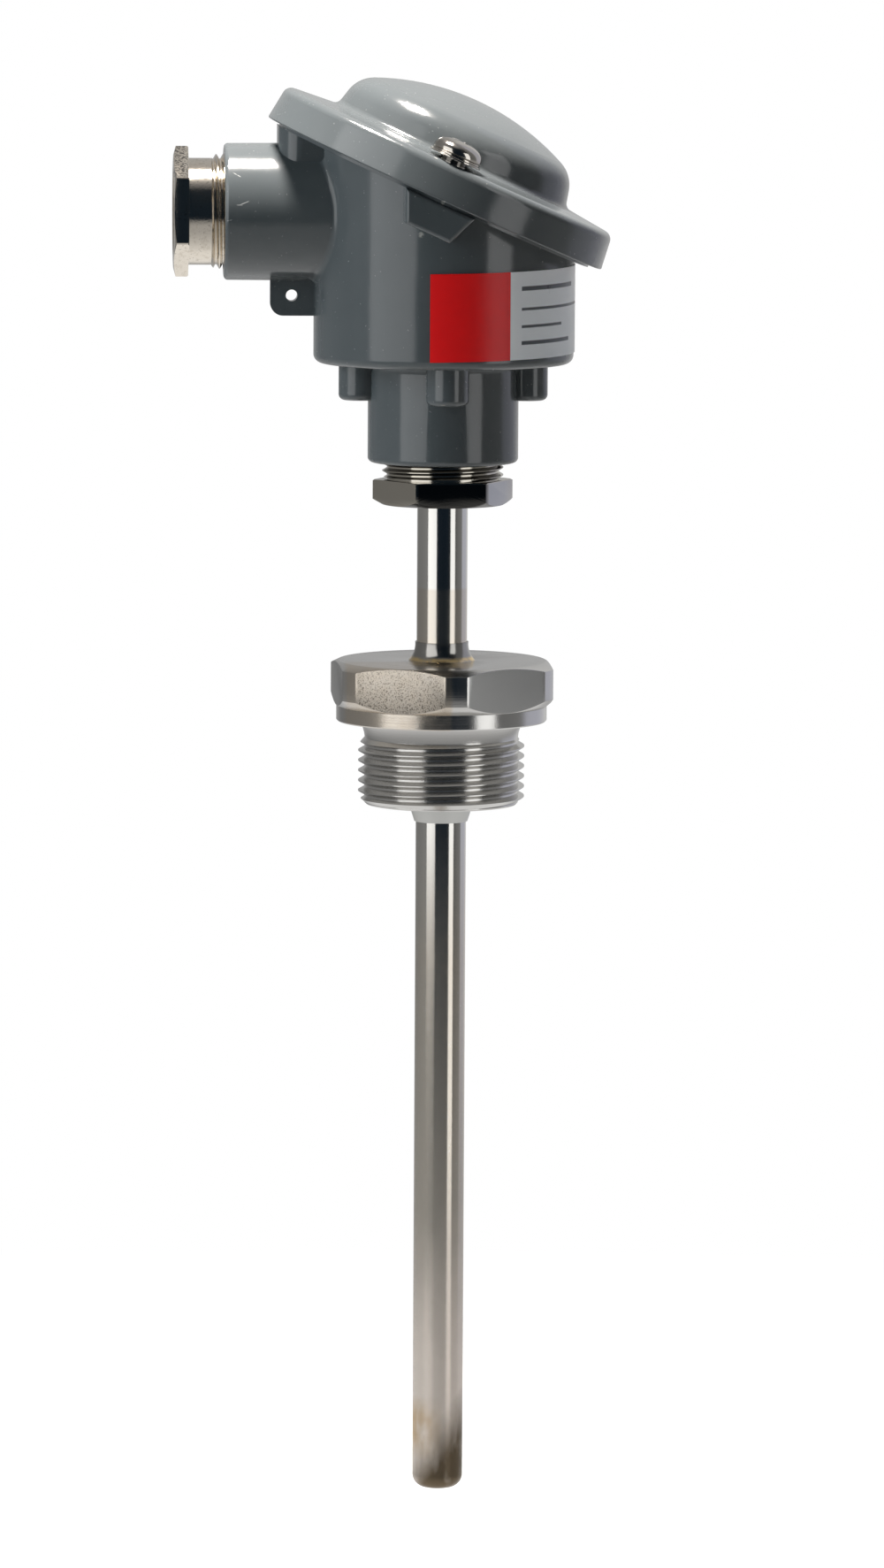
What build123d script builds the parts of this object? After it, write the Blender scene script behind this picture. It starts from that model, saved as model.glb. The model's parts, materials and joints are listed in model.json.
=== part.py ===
from build123d import *
from math import cos, radians, sin, sqrt, tan
import os

os.makedirs("parts", exist_ok=True)

# Temperature sensor: a die-cast cable head on a protection tube with a screwed process connection.
# The origin is the centre of the collar's sealing face. +Z runs up the tube to the head and -X runs
# out of the cable entry. All lengths are in millimetres.

# Clearances between pieces
fit = 0.05            # static fits and the sliding insert's seat
running = 0.10        # round pieces that turn or slide in each other
seat_gap = 0.3        # loose seats, such as the pressure screw on its washer

# Protection tube
tube_od = 10.0
tube_wall = 1.5
immersion = 154.5     # sealing face to the tip
tip_plate = 3.0
tip_round = 2.6
plug_spigot = 1.5

# Process connection
process_thread_d = 33.0
process_pitch = 2.0
process_turns = 6
collar_d = 41.8
collar_h = 3.05
process_hex_af = 42.0
process_bar_d = 46.2
process_hex_h = 8.95
process_hex_turn = 34.5
hex_top_chamfer = 2.5
hex_top_chamfer_h = 1.2
hex_low_chamfer_h = 1.85
undercut_h = 4.3
undercut_round = 1.4
thread_lead_in = 0.8

# Weld beads round the tube
upper_bead_w = 1.6
upper_bead_h = 3.7
lower_bead_w = 1.3
lower_bead_h = 3.4
bead_edge = 0.3

# Nipple between the tube and the head
head_thread_d = 24.0
head_pitch = 1.5
nipple_hex_af = 24.2
nipple_hex_low = 43.05
nipple_hex_h = 4.9
nipple_hex_turn = 4.6
nipple_thread_show = 3.4
nipple_turns = 10
tube_above_nipple = 2.0

# Head housing
body_r = 25.7
body_wall = 2.5
body_floor_z = 73.5
floor_t = 2.5
body_round = 1.7
neck_r = 14.9
neck_round = 1.0
neck_fillet = 1.5
screw_pitch_r = 16.5
foot_boss_r = 4.2
foot_boss_h = 7.4
foot_boss_round = 1.2
foot_boss_count = 4
insert_bore_r = 9.0

# Lid and its seat, in a frame tilted down towards +X
lid_tilt = 24.3
lid_x = -1.9
lid_z = 104.4
rim_r = 36.1
rim_h = 7.1
rim_draft = 7.0
rim_top_round = 1.8
lid_plate_rise = 1.0
lid_wall = 2.3
dome_inset = 11.4
dome_top = 20.05
dome_draft = 14.0
dome_cap_r = 50.0
dome_shoulder = 6.5
dome_foot_round = 1.5
seat_h = 4.2
skirt_wall = 1.7
flange_gap = 0.9
flange_drop = 0.6
gasket_t = 0.6
gasket_w = 6.5

# Lugs for the lid screws, and the web over the cable boss
lug_depth = 6.9
lug_inset = 2.1
lug_left = -4.9
lug_right = 4.5
lug_flare = 2.6
lug_round = 0.8
web_inset = 0.6
web_half_w = 9.0
web_low = 105.0

# Cable boss and seal lug
entry_z = 100.7
boss_end = 43.5
boss_r = 13.45
boss_root_r = 13.7
boss_fillet = 1.4
boss_edge = 0.8
gland_shoulder = 29.0
cable_bore_r = 7.5
seal_lug_out = 34.3
seal_lug_low = 80.3
seal_lug_t = 4.0
seal_lug_round = 2.5
seal_hole_d = 2.3
seal_hole_in = 4.2
seal_hole_up = 4.0

# Cable pressure screw and its seal
gland_thread_d = 22.5
gland_pitch = 1.41
gland_turns = 6
gland_neck_r = 10.5
gland_neck_end = 50.5
gland_hex_af = 22.4
gland_hex_corner_d = 25.7
gland_hex_t = 2.9
gland_hex_turn = 3.1
gland_hex_chamfer_h = 0.45
gland_countersink = 1.2
seal_washer_t = 0.8
seal_ring_t = 6.0
seal_ring_in_r = 7.6

# Lid screws
screw_r = 2.5
screw_inset = 6.6
screw_shift = -1.1
screw_head_r = 5.0
screw_head_h = 2.9
screw_head_round = 1.3
screw_seat_h = 8.2
screw_reach = 4.5
lid_washer_r = 5.2
lid_washer_t = 0.8
cross_w = 5.2
cross_slot = 1.1
cross_depth = 1.7

# Measuring insert
sheath_r = 3.0
sheath_wall = 0.5
sheath_tip_t = 0.8
plate_r = 21.0
plate_t = 1.0
collar_r = 4.8
insert_collar_h = 3.5
block_r = 20.0
block_h = 12.0
block_hole_r = 4.0
screw_slot_r = 3.9
rib_w = 1.6
rib_h = 4.4
rib_in = 6.0
rib_out = 17.0
terminal_r = 12.5
terminal_angles = (30, 150, 210, 330)
clamp_l = 6.0
clamp_w = 5.4
clamp_h = 4.5
clamp_hole_r = 1.2
clamp_screw_r = 1.5
clamp_head_r = 2.4
clamp_head_h = 1.9
slot_w = 0.7
slot_depth = 0.9
lead_r = 0.6
lead_ring_r = 1.3
lead_bend = 2.0
conductor_r = 0.25
rtd_r = 1.2
rtd_l = 15.0
rtd_from_tip = 1.0

# Insert fixing screws and springs
fixing_r = 1.95
fixing_head_r = 3.5
fixing_head_h = 2.5
fixing_thread_in = 7.0
spring_wire_r = 0.4
spring_r = 2.55
spring_l = 14.3
spring_turns = 7.5

# Type label on the housing wall
label_low = 72.8
label_h = 17.2
label_t = 0.2
label_gap = 0.03
label_from = -8.8
label_to = 125.0

# Places worked out from the sizes above
tube_r = tube_od / 2
tube_bore_r = tube_r - tube_wall
tip_z = -immersion
tube_low = tip_z + tip_plate
hex_top = collar_h + process_hex_h
process_end = -(undercut_h + process_turns * process_pitch + thread_lead_in / 2)
nipple_thread_low = nipple_hex_low + nipple_hex_h
neck_low = nipple_thread_low + nipple_thread_show
nipple_top = nipple_thread_low + nipple_turns * head_pitch + head_pitch / 2
tube_top = nipple_top + tube_above_nipple
body_low = body_floor_z - floor_t
cavity_r = body_r - body_wall
head_bore_top = nipple_top + seat_gap
lid_skirt_r = rim_r - skirt_wall
flange_r = lid_skirt_r - flange_gap
gasket_r = flange_r - bead_edge
dome_foot_r = rim_r - dome_inset
screw_offset = rim_r - screw_inset
lug_face = rim_r - lug_inset
web_x = flange_r - web_inset
plate_low = body_floor_z + fit
plate_top = plate_low + plate_t
block_top = plate_top + block_h
lead_z = block_top + clamp_h / 2
spring_top = plate_top + spring_l
sheath_low = tube_low + plug_spigot + seat_gap
sheath_bore_r = sheath_r - sheath_wall
sheath_top = plate_top + 2 * sheath_wall
rtd_low = sheath_low + sheath_tip_t + rtd_from_tip
gland_seal_end = gland_shoulder + 2 * seal_washer_t + seal_ring_t
gland_end = gland_seal_end + seat_gap
gland_bore_r = gland_thread_d / 2 + running

lid_frame = Plane(
    origin=(lid_x, 0, lid_z),
    x_dir=(cos(radians(lid_tilt)), 0, -sin(radians(lid_tilt))),
    z_dir=(sin(radians(lid_tilt)), 0, cos(radians(lid_tilt))),
)
# Local z of this frame runs out along the cable entry, measured from the tube's axis
entry_frame = Location((0, 0, entry_z), (0, -90, 0))

on_base = (Align.CENTER, Align.CENTER, Align.MIN)


def rod(radius, low, high):
    return Pos(0, 0, low) * Cylinder(radius, high - low, align=on_base)


def ring(outer, inner, low, high):
    return rod(outer, low, high) - rod(inner, low, high)


def turned(points):
    # A closed outline of (radius, height) points turned about Z
    outline = make_face(Polyline(*[(r, z) for r, z in points], close=True))
    return revolve(Plane.XZ * outline, Axis.Z)


def hex_prism(across_flats, low, high, turn):
    face = RegularPolygon(across_flats / 2, 6, major_radius=False, rotation=turn)
    return extrude(Pos(0, 0, low) * face, high - low)


def thread_depth(pitch):
    return 0.6134 * pitch


def thread_outline(crest_r, pitch, turns, low):
    # Ridges with the thread's own flanks, from low upwards
    depth = thread_depth(pitch)
    flank = depth * tan(radians(30))
    crest = pitch / 8
    points = []
    for turn in range(turns):
        z = low + turn * pitch
        points += [
            (crest_r - depth, z),
            (crest_r, z + flank),
            (crest_r, z + flank + crest),
            (crest_r - depth, z + 2 * flank + crest),
        ]
    return points


def circle_edges(shape, radius, z):
    found = shape.edges().filter_by(GeomType.CIRCLE)
    return found.filter_by(lambda e: abs(e.radius - radius) < 0.01 and abs(e.center().Z - z) < 0.01)


def on_lid(shape):
    return lid_frame.location * shape


def screw_places():
    # The two lid screws, front and rear, a little uphill of the lid's middle
    return [Pos(screw_shift, -screw_offset, 0), Pos(screw_shift, screw_offset, 0)]


def protection_tube():
    return ring(tube_r, tube_bore_r, tube_low, tube_top)


def tube_end_plug():
    plug = rod(tube_r, tip_z, tube_low)
    plug = fillet(circle_edges(plug, tube_r, tip_z), tip_round)
    return plug + rod(tube_bore_r - fit, tube_low, tube_low + plug_spigot)


def process_connection():
    crest = process_thread_d / 2
    root = crest - thread_depth(process_pitch)
    bore = tube_r + fit
    low = -(undercut_h + process_turns * process_pitch)
    outline = [(bore, process_end), (root - thread_lead_in / 2, process_end)]
    outline += thread_outline(crest, process_pitch, process_turns, low)
    outline += [(root, 0), (collar_d / 2, 0), (collar_d / 2, collar_h), (bore, collar_h)]
    spigot = turned(outline)
    spigot = fillet(circle_edges(spigot, root, 0), undercut_round)
    spigot = fillet(circle_edges(spigot, collar_d / 2, 0), bead_edge)
    bar = process_bar_d / 2
    blank = turned([
        (bore, collar_h),
        (collar_d / 2, collar_h),
        (bar, collar_h + hex_low_chamfer_h),
        (bar, hex_top - hex_top_chamfer_h),
        (bar - hex_top_chamfer, hex_top),
        (bore, hex_top),
    ])
    return spigot + (blank & hex_prism(process_hex_af, collar_h, hex_top, process_hex_turn))


def upper_weld_bead():
    low, high = hex_top, hex_top + upper_bead_h
    inner, foot, lip = tube_r + fit, tube_r + upper_bead_w, tube_r + bead_edge
    middle = (lip + (foot - lip) * 0.25, low + upper_bead_h * 0.4)
    edges = Polyline((lip, high), (inner, high), (inner, low), (foot, low))
    hollow = ThreePointArc((foot, low), middle, (lip, high))
    return revolve(Plane.XZ * make_face(edges + hollow), Axis.Z)


def lower_weld_bead():
    inner, foot, lip = tube_r + fit, tube_r + lower_bead_w, tube_r + bead_edge
    high, low = process_end, process_end - lower_bead_h
    return turned([(inner, low), (lip, low), (foot, high - bead_edge), (foot, high), (inner, high)])


def head_nipple():
    crest = head_thread_d / 2
    bore = tube_r + fit
    outline = [(bore, nipple_thread_low), (crest - thread_depth(head_pitch), nipple_thread_low)]
    outline += thread_outline(crest, head_pitch, nipple_turns, nipple_thread_low + head_pitch / 4)
    outline += [(crest - thread_depth(head_pitch), nipple_top), (bore, nipple_top)]
    corner = nipple_hex_af / 2 / cos(radians(30))
    chamfer_w = corner - nipple_hex_af / 2
    blank = turned([
        (bore, nipple_hex_low),
        (nipple_hex_af / 2, nipple_hex_low),
        (corner, nipple_hex_low + chamfer_w * tan(radians(30))),
        (corner, nipple_thread_low),
        (bore, nipple_thread_low),
    ])
    return turned(outline) + (blank & hex_prism(nipple_hex_af, nipple_hex_low, nipple_thread_low, nipple_hex_turn))


def screw_lug():
    # Seen from the front, its underside follows the lid and its left side is upright
    top = -flange_drop + fit
    lean = (lug_depth + top) * tan(radians(lid_tilt))
    outline = Polyline(
        (lug_left - lean, top),
        (lug_left, -lug_depth),
        (lug_right, -lug_depth),
        (lug_right + lug_flare, top),
        close=True,
    )
    inside = cavity_r - body_wall
    lug = extrude(Plane.XZ.offset(inside) * make_face(outline), lug_face - inside)
    outer = lug.faces().sort_by(Axis.Y)[0]
    return fillet(outer.edges(), lug_round)


def seal_lug():
    high = entry_z - boss_r + body_wall / 2
    width = seal_lug_out - body_r + body_wall / 2
    tall = high - seal_lug_low
    plate = Box(width, seal_lug_t, tall, align=(Align.MIN, Align.CENTER, Align.MIN))
    plate = Pos(-seal_lug_out, 0, seal_lug_low) * plate
    corner = plate.edges().filter_by(Axis.Y).sort_by(lambda e: e.center().X + e.center().Z)[0]
    plate = fillet(corner, seal_lug_round)
    hole = Rot(90, 0, 0) * Cylinder(seal_hole_d / 2, 2 * seal_lug_t)
    return plate - Pos(-seal_lug_out + seal_hole_in, 0, seal_lug_low + seal_hole_up) * hole


def head_housing():
    tall = lid_z + rim_r
    shell = rod(body_r, body_low, tall)
    boss = Cone(boss_root_r, boss_r, boss_end, align=on_base)
    boss = fillet(circle_edges(boss, boss_r, boss_end), boss_edge)
    shell += entry_frame * boss
    joint = shell.edges().filter_by(lambda e: e.geom_type not in (GeomType.CIRCLE, GeomType.LINE))
    shell = fillet(joint, boss_fillet)
    shell = fillet(circle_edges(shell, body_r, body_low), body_round)
    neck = rod(neck_r, neck_low, body_floor_z)
    neck = fillet(circle_edges(neck, neck_r, neck_low), neck_round)
    shell += neck
    shell = fillet(circle_edges(shell, neck_r, body_low), neck_fillet)
    foot = rod(foot_boss_r, body_low - foot_boss_h, body_floor_z)
    foot = fillet(circle_edges(foot, foot_boss_r, body_low - foot_boss_h), foot_boss_round)
    for place in PolarLocations(screw_pitch_r, foot_boss_count):
        shell += place * foot
    web = Box(web_x, 2 * web_half_w, tall - web_low, align=(Align.MAX, Align.CENTER, Align.MIN))
    web = fillet(web.edges().filter_by(Axis.Z).group_by(Axis.X)[0], web_half_w / 2)
    above_seat = Box(4 * rim_r, 4 * rim_r, 4 * rim_r, align=on_base)
    shell += Pos(0, 0, web_low) * web - on_lid(Pos(0, 0, -flange_drop + fit) * above_seat)
    shell -= on_lid(Pos(0, 0, seat_h) * above_seat)
    shell += on_lid(rod(flange_r, -flange_drop, seat_h))
    lug = screw_lug()
    shell += on_lid(lug)
    shell += on_lid(mirror(lug, Plane.XZ))
    shell += seal_lug()
    # Inside: the wiring space, the gland seat, the insert's way through the floor and the tapped holes
    shell -= rod(cavity_r, body_floor_z, tall)
    shell -= entry_frame * rod(gland_bore_r, gland_shoulder, boss_end + seat_gap)
    shell -= entry_frame * rod(cable_bore_r, 0, gland_shoulder)
    shell -= rod(head_thread_d / 2 + running, neck_low, head_bore_top)
    shell -= rod(insert_bore_r, head_bore_top, body_floor_z)
    for place in PolarLocations(screw_pitch_r, foot_boss_count):
        shell -= place * rod(fixing_r + running, body_floor_z - fixing_thread_in - seat_gap, body_floor_z)
    for place in screw_places():
        shell -= on_lid(place * rod(screw_r + running, -screw_reach - seat_gap, seat_h))
    return shell


def dome(foot_r, foot_z, top_z, cap_r, shoulder):
    # A drafted wall under a shallow round cap, with a rounded shoulder between them
    slope = tan(radians(dome_draft))
    reach = foot_r
    for _ in range(20):
        reach = foot_r - slope * (top_z - cap_r + sqrt(cap_r**2 - reach**2) - foot_z)
    corner_z = top_z - cap_r + sqrt(cap_r**2 - reach**2)
    half = reach / 2
    middle = (half, top_z - cap_r + sqrt(cap_r**2 - half**2))
    sides = Polyline((0, top_z), (0, foot_z), (foot_r, foot_z), (reach, corner_z))
    cap = ThreePointArc((reach, corner_z), middle, (0, top_z))
    solid = revolve(Plane.XZ * make_face(sides + cap), Axis.Z)
    return fillet(circle_edges(solid, reach, corner_z), shoulder)


def head_lid():
    top_r = rim_r - rim_h * tan(radians(rim_draft))
    plate_top_h = rim_h + lid_plate_rise
    plate = turned([(0, 0), (rim_r, 0), (top_r, rim_h), (dome_foot_r, plate_top_h), (0, plate_top_h)])
    plate = fillet(circle_edges(plate, top_r, rim_h), rim_top_round)
    plate = fillet(circle_edges(plate, rim_r, 0), bead_edge)
    lid = plate + dome(dome_foot_r, plate_top_h, dome_top, dome_cap_r, dome_shoulder)
    lid = fillet(circle_edges(lid, dome_foot_r, plate_top_h), dome_foot_round)
    pocket_h = seat_h + gasket_t + fit
    lid -= turned([(0, 0), (lid_skirt_r, 0), (lid_skirt_r - bead_edge, pocket_h), (0, pocket_h)])
    hollow_top = dome_top - lid_wall
    lid -= dome(dome_foot_r - lid_wall, pocket_h, hollow_top, dome_cap_r - lid_wall, dome_shoulder - lid_wall)
    for place in screw_places():
        lid -= place * rod(screw_r + running, 0, dome_top)
        lid -= place * rod(lid_washer_r + running, screw_seat_h, dome_top)
    return on_lid(lid)


def lid_gasket():
    low = seat_h + fit
    gasket = ring(gasket_r, gasket_r - gasket_w, low, low + gasket_t - fit)
    for place in screw_places():
        gasket -= place * rod(screw_r + seat_gap, low, low + gasket_t)
    return on_lid(gasket)


def cross_recess():
    bar = Box(cross_w, cross_slot, cross_depth, align=(Align.CENTER, Align.CENTER, Align.MAX))
    bar = chamfer(bar.faces().sort_by(Axis.X)[0].edges().sort_by(Axis.Z)[0], cross_depth * 0.8)
    bar = chamfer(bar.faces().sort_by(Axis.X)[-1].edges().sort_by(Axis.Z)[0], cross_depth * 0.8)
    return bar + Rot(0, 0, 90) * bar


def lid_screw(place):
    low = screw_seat_h + fit + lid_washer_t + fit
    top = low + screw_head_h
    screw = rod(screw_r, -screw_reach, low) + rod(screw_head_r, low, top)
    screw = fillet(circle_edges(screw, screw_head_r, top), screw_head_round)
    screw -= Pos(0, 0, top) * Rot(0, 0, 20) * cross_recess()
    return on_lid(place * screw)


def lid_washer(place):
    low = screw_seat_h + fit
    return on_lid(place * ring(lid_washer_r, screw_r + running, low, low + lid_washer_t))


def cable_pressure_screw():
    crest = gland_thread_d / 2
    root = crest - thread_depth(gland_pitch)
    thread_end = gland_end + gland_turns * gland_pitch + gland_pitch / 4
    outline = [(cable_bore_r, gland_end), (root, gland_end)]
    outline += thread_outline(crest, gland_pitch, gland_turns, gland_end + gland_pitch / 4)
    outline += [(gland_neck_r, thread_end), (gland_neck_r, gland_neck_end), (cable_bore_r, gland_neck_end)]
    top = gland_neck_end + gland_hex_t
    corner = gland_hex_corner_d / 2
    blank = turned([
        (cable_bore_r, gland_neck_end),
        (corner, gland_neck_end),
        (corner, top - gland_hex_chamfer_h),
        (gland_hex_af / 2, top),
        (cable_bore_r + gland_countersink, top),
        (cable_bore_r, top - gland_countersink),
    ])
    hexagon = blank & hex_prism(gland_hex_af, gland_neck_end, top, gland_hex_turn)
    return entry_frame * (turned(outline) + hexagon)


def cable_washer(low):
    return entry_frame * ring(gland_thread_d / 2, cable_bore_r, low, low + seal_washer_t)


def cable_seal_ring():
    low = gland_shoulder + seal_washer_t
    return entry_frame * ring(gland_thread_d / 2, seal_ring_in_r, low, low + seal_ring_t)


def type_label():
    inner = body_r + label_gap
    strip = Plane.XZ * (Pos(inner, label_low) * Rectangle(label_t, label_h, align=(Align.MIN, Align.MIN)))
    return Rot(0, 0, label_from - 90) * revolve(strip, Axis.Z, label_to - label_from)


def insert_sheath():
    sheath = rod(sheath_r, sheath_low, sheath_top)
    sheath = fillet(circle_edges(sheath, sheath_r, sheath_low), sheath_r / 3)
    return sheath - rod(sheath_bore_r, sheath_low + sheath_tip_t, sheath_top)


def conductor_places():
    return [Rot(0, 0, angle) * Pos(lead_ring_r, 0, 0) for angle in terminal_angles]


def mineral_fill():
    fill = rod(sheath_bore_r - fit, sheath_low + sheath_tip_t, sheath_top)
    fill -= rod(rtd_r + fit, rtd_low, rtd_low + rtd_l + fit)
    for place in conductor_places():
        fill -= place * rod(conductor_r + fit, rtd_low + rtd_l, sheath_top)
    return fill


def rtd_element():
    return rod(rtd_r, rtd_low, rtd_low + rtd_l)


def insert_conductors():
    low = rtd_low + rtd_l + fit
    return [place * rod(conductor_r, low, sheath_top) for place in conductor_places()]


def lead_wire(angle):
    start = (lead_ring_r, 0, sheath_top + fit)
    route = FilletPolyline(start, (lead_ring_r, 0, lead_z), (terminal_r - clamp_l / 4, 0, lead_z), radius=lead_bend)
    return Rot(0, 0, angle) * sweep(Plane.XY.offset(start[2]) * Pos(start[0], 0) * Circle(lead_r), path=route)


def insert_flange_plate():
    plate = ring(plate_r, sheath_r + fit, plate_low, plate_top)
    for side in (-1, 1):
        plate -= Pos(0, side * screw_pitch_r, 0) * rod(fixing_r + running, plate_low, plate_top)
    return plate


def insert_collar():
    high = plate_low
    return ring(collar_r, sheath_r + fit, high - insert_collar_h, high)


def terminal_block():
    block = rod(block_r, plate_top, block_top)
    rib = Box(rib_out - rib_in, rib_w, rib_h, align=(Align.MIN, Align.CENTER, Align.MIN))
    for angle in (0, 180):
        block += Rot(0, 0, angle) * Pos(rib_in, 0, block_top) * rib
    block -= rod(block_hole_r, plate_top, block_top)
    reach = block_r - screw_pitch_r
    slot = rod(screw_slot_r, plate_top, block_top)
    slot += Pos(0, 0, plate_top) * Box(2 * screw_slot_r, 2 * reach, block_h,
                                       align=(Align.CENTER, Align.MIN, Align.MIN))
    for angle in (0, 180):
        block -= Rot(0, 0, angle) * Pos(0, screw_pitch_r, 0) * slot
    return chamfer(circle_edges(block, block_hole_r, block_top), bead_edge)


def terminal_places():
    return [Rot(0, 0, angle) * Pos(terminal_r, 0, 0) for angle in terminal_angles]


def terminal_clamps():
    clamp = Pos(0, 0, block_top) * Box(clamp_l, clamp_w, clamp_h, align=on_base)
    clamp = chamfer(clamp.edges().filter_by(Axis.Z), bead_edge)
    clamp -= Pos(0, 0, lead_z) * Rot(0, 90, 0) * Cylinder(clamp_hole_r, 2 * clamp_l)
    clamp -= rod(clamp_screw_r + fit, lead_z, block_top + clamp_h)
    return [place * clamp for place in terminal_places()]


def slotted_screw(shank_r, low, neck, head_r, head_h):
    screw = rod(shank_r, low, neck) + rod(head_r, neck, neck + head_h)
    screw = fillet(circle_edges(screw, head_r, neck + head_h), head_h / 3)
    slot = Box(3 * head_r, slot_w, slot_depth, align=(Align.CENTER, Align.CENTER, Align.MAX))
    return screw - Pos(0, 0, neck + head_h) * slot


def terminal_screws():
    low = lead_z + lead_r + fit
    screw = slotted_screw(clamp_screw_r, low, block_top + clamp_h, clamp_head_r, clamp_head_h)
    return [place * screw for place in terminal_places()]


def insert_fixing_screws():
    low = body_floor_z - fixing_thread_in
    screw = slotted_screw(fixing_r, low, spring_top, fixing_head_r, fixing_head_h)
    return [Pos(0, side * screw_pitch_r, 0) * screw for side in (-1, 1)]


def insert_spring(side):
    low = plate_top + spring_wire_r + fit
    height = spring_l - 2 * (spring_wire_r + fit)
    path = Helix(height / spring_turns, height, spring_r)
    start = Plane(origin=path @ 0, z_dir=path % 0)
    coil = sweep(start * Circle(spring_wire_r), path=path, is_frenet=True)
    return Pos(0, side * screw_pitch_r, low) * coil


front, rear = screw_places()
nodes = {
    "protection_tube": protection_tube(),
    "tube_end_plug": tube_end_plug(),
    "process_connection": process_connection(),
    "upper_weld_bead": upper_weld_bead(),
    "lower_weld_bead": lower_weld_bead(),
    "head_nipple": head_nipple(),
    "head_housing": head_housing(),
    "head_lid": head_lid(),
    "lid_gasket": lid_gasket(),
    "lid_screw_front": lid_screw(front),
    "lid_screw_rear": lid_screw(rear),
    "lid_washer_front": lid_washer(front),
    "lid_washer_rear": lid_washer(rear),
    "cable_pressure_screw": cable_pressure_screw(),
    "cable_washer_inner": cable_washer(gland_shoulder),
    "cable_washer_outer": cable_washer(gland_seal_end - seal_washer_t),
    "cable_seal_ring": cable_seal_ring(),
    "type_label": type_label(),
    "insert_sheath": insert_sheath(),
    "mineral_fill": mineral_fill(),
    "rtd_element": rtd_element(),
    "insert_conductors": insert_conductors(),
    "insert_flange_plate": insert_flange_plate(),
    "insert_collar": insert_collar(),
    "terminal_block": terminal_block(),
    "terminal_clamps": terminal_clamps(),
    "terminal_screws": terminal_screws(),
    "lead_wires_red": [lead_wire(angle) for angle in terminal_angles if cos(radians(angle)) > 0],
    "lead_wires_white": [lead_wire(angle) for angle in terminal_angles if cos(radians(angle)) < 0],
    "insert_fixing_screws": insert_fixing_screws(),
    "insert_spring_front": insert_spring(-1),
    "insert_spring_rear": insert_spring(1),
}

for name, shape in nodes.items():
    if isinstance(shape, list):
        shape = Compound(children=shape)
    export_step(shape, f"parts/{name}.step")
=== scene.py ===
import bpy
import json
from math import atan2, cos, pi, radians, sin, tan
from mathutils import Matrix, Vector


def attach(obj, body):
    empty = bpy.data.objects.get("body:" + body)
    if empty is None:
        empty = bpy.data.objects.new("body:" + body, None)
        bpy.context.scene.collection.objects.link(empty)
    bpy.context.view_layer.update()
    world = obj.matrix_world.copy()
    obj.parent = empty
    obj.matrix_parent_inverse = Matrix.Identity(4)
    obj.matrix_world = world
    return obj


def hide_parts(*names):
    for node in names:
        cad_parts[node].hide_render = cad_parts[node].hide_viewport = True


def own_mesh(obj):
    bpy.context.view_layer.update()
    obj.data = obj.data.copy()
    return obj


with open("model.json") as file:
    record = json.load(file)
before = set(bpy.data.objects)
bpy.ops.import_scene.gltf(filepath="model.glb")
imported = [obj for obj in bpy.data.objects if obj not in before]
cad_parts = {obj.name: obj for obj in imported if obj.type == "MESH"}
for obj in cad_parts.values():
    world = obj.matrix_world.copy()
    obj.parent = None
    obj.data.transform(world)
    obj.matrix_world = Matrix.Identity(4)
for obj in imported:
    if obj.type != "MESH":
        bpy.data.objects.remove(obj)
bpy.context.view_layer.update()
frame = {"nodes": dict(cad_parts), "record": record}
nodes = frame["nodes"]
mm = 0.001
print("frame loaded:", len(nodes), "nodes")


class Wire:
    # a node socket that takes part in plain arithmetic, and adds the nodes that it needs
    def __init__(self, tree, socket=None):
        self.tree, self.socket = tree, socket

    def add(self, kind, settings=(), inputs=(), out=0):
        node = self.tree.nodes.new("ShaderNode" + kind)
        for name, value in dict(settings).items():
            if name == "stops":
                ramp = node.color_ramp
                while len(ramp.elements) < len(value):
                    ramp.elements.new(0.5)
                for element, (place, colour) in zip(ramp.elements, value):
                    element.position = place
                    element.color = (*colour, 1) if isinstance(colour, tuple) else (colour, colour, colour, 1)
            elif name == "smooth":
                node.color_ramp.interpolation = "EASE" if value else "LINEAR"
            else:
                setattr(node, name, value)
        for key, value in dict(inputs).items():
            if isinstance(value, Wire):
                self.tree.links.new(value.socket, node.inputs[key])
            else:
                node.inputs[key].default_value = value
        return Wire(self.tree, node.outputs[out])

    def maths(self, operation, *terms, clamp=False):
        return self.add("Math", {"operation": operation, "use_clamp": clamp}, dict(enumerate(terms)))

    def __add__(self, other): return self.maths("ADD", self, other)
    def __radd__(self, other): return self.maths("ADD", other, self)
    def __sub__(self, other): return self.maths("SUBTRACT", self, other)
    def __rsub__(self, other): return self.maths("SUBTRACT", other, self)
    def __mul__(self, other): return self.maths("MULTIPLY", self, other)
    def __rmul__(self, other): return self.maths("MULTIPLY", other, self)
    def __truediv__(self, other): return self.maths("DIVIDE", self, other)
    def __pow__(self, other): return self.maths("POWER", self, other)

    def above(self, edge, soft):
        # 0 below the edge and 1 above it, over a soft step
        return self.maths("MULTIPLY", (self - (edge - soft)), 1 / (2 * soft), clamp=True)

    def within(self, low, high, soft):
        return self.above(low, soft) * (1 - self.above(high, soft))


def startMaterial(name, rough=0.4, metal=0.0, **constants):
    made = bpy.data.materials.new(name)
    made.use_nodes = True
    shader = made.node_tree.nodes["Principled BSDF"]
    shader.inputs["Roughness"].default_value = rough
    shader.inputs["Metallic"].default_value = metal
    for socket, value in constants.items():
        shader.inputs[socket.replace("_", " ")].default_value = value
    return made, shader, Wire(made.node_tree)


def place(g):
    # object coordinates in millimetres, as three wires
    spot = g.add("TexCoord", out=3)
    split = [g.add("SeparateXYZ", inputs={0: spot}, out=i) for i in range(3)]
    return [axis / mm for axis in split]


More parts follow.
